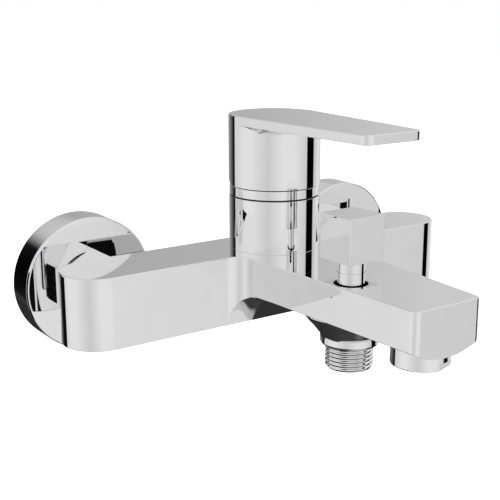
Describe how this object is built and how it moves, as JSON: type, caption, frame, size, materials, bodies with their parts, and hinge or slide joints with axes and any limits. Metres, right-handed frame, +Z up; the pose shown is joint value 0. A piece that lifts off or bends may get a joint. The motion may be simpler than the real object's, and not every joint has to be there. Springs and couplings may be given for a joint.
{
  "type": "bath mixer tap",
  "caption": "Wall mounted single-lever bath mixer with bar body, flat spout with aerator, pull-up cube diverter and threaded shower outlet.",
  "frame": {"origin": "on the wall plane, midway between the two inlet axes", "axes": "+X to the right when facing the wall, +Y into the wall, +Z up"},
  "size_m": [0.2126, 0.1858, 0.1091],
  "materials": {
    "chrome": "polished chrome plate on brass",
    "brass": "machined, unplated",
    "rubber": "matte black",
    "fibre": "pressed fibre, dark grey",
    "cartridge_plastic": "moulded, off-white",
    "guide_plastic": "moulded, grey",
    "ceramic": "lapped alumina",
    "steel": "stainless",
    "screw_steel": "black oxide",
    "aerator_plastic": "moulded, light grey"
  },
  "bodies": {
    "root": {"body": "chrome", "wall_flange_left": "chrome", "wall_flange_right": "chrome", "eccentric_union_left": "chrome", "eccentric_union_right": "chrome", "union_nut_left": "chrome", "union_nut_right": "chrome", "cover_sleeve": "chrome", "dome_ring": "chrome", "diverter_neck": "chrome", "shower_nipple": "chrome", "aerator_housing": "chrome", "inlet_nipple_left": "brass", "inlet_nipple_right": "brass", "cartridge_nut": "brass", "groove_ring": "rubber", "base_seals": "rubber", "neck_o_ring": "rubber", "check_valve_seal": "rubber", "aerator_gasket": "rubber", "union_washer_left": "fibre", "union_washer_right": "fibre", "cartridge_base": "cartridge_plastic", "cartridge_housing": "cartridge_plastic", "check_valve_body": "cartridge_plastic", "fixed_disc": "ceramic", "filter_screen_left": "steel", "filter_screen_right": "steel", "diverter_spring": "steel", "check_valve_spring": "steel", "aerator_screen": "steel", "aerator_insert": "aerator_plastic"},
    "swivel": {"spindle_guide": "guide_plastic", "pivot_pin": "steel"},
    "lever": {"handle": "chrome", "spindle": "brass", "set_screw": "screw_steel", "screw_plug": "chrome"},
    "disc": {"moving_disc": "ceramic", "disc_carrier": "guide_plastic"},
    "diverter_valve": {"valve_plate": "brass", "upper_valve_seal": "rubber", "lower_valve_seal": "rubber"},
    "knob": {"diverter_knob": "chrome", "diverter_stem": "brass", "stem_clip": "steel"},
    "check_poppet": {"check_valve_poppet": "rubber"}
  },
  "joints": [
    {"name": "handle_swivel", "type": "hinge", "parent": "root", "child": "swivel", "pos_m": [0, -0.057, 0.037], "axis": [0, 0, 1], "range_deg": [-50, 50]},
    {"name": "handle_tilt", "type": "hinge", "parent": "swivel", "child": "lever", "pos_m": [0, -0.057, 0.037], "axis": [-1, 0, 0], "range_deg": [0, 25]},
    {"name": "disc_slide", "type": "slide", "parent": "swivel", "child": "disc", "axis": [0, -1, 0], "range_m": [0, 0.0043]},
    {"name": "diverter_pull", "type": "slide", "parent": "root", "child": "diverter_valve", "axis": [0, 0, 1], "range_m": [0, 0.008], "stiffness_N_per_m": 250, "springref_m": -0.004, "deforming": ["diverter_spring"]},
    {"name": "knob_spin", "type": "hinge", "parent": "diverter_valve", "child": "knob", "pos_m": [0, -0.113, 0.03], "axis": [0, 0, 1], "continuous": true},
    {"name": "check_open", "type": "slide", "parent": "root", "child": "check_poppet", "axis": [0, 0, -1], "range_m": [0, 0.0025], "stiffness_N_per_m": 40, "springref_m": -0.004, "deforming": ["check_valve_spring"]}
  ],
  "couplings": [
    {"joint": "disc_slide", "follows": "handle_tilt", "m_per_rad": 0.00978}
  ]
}
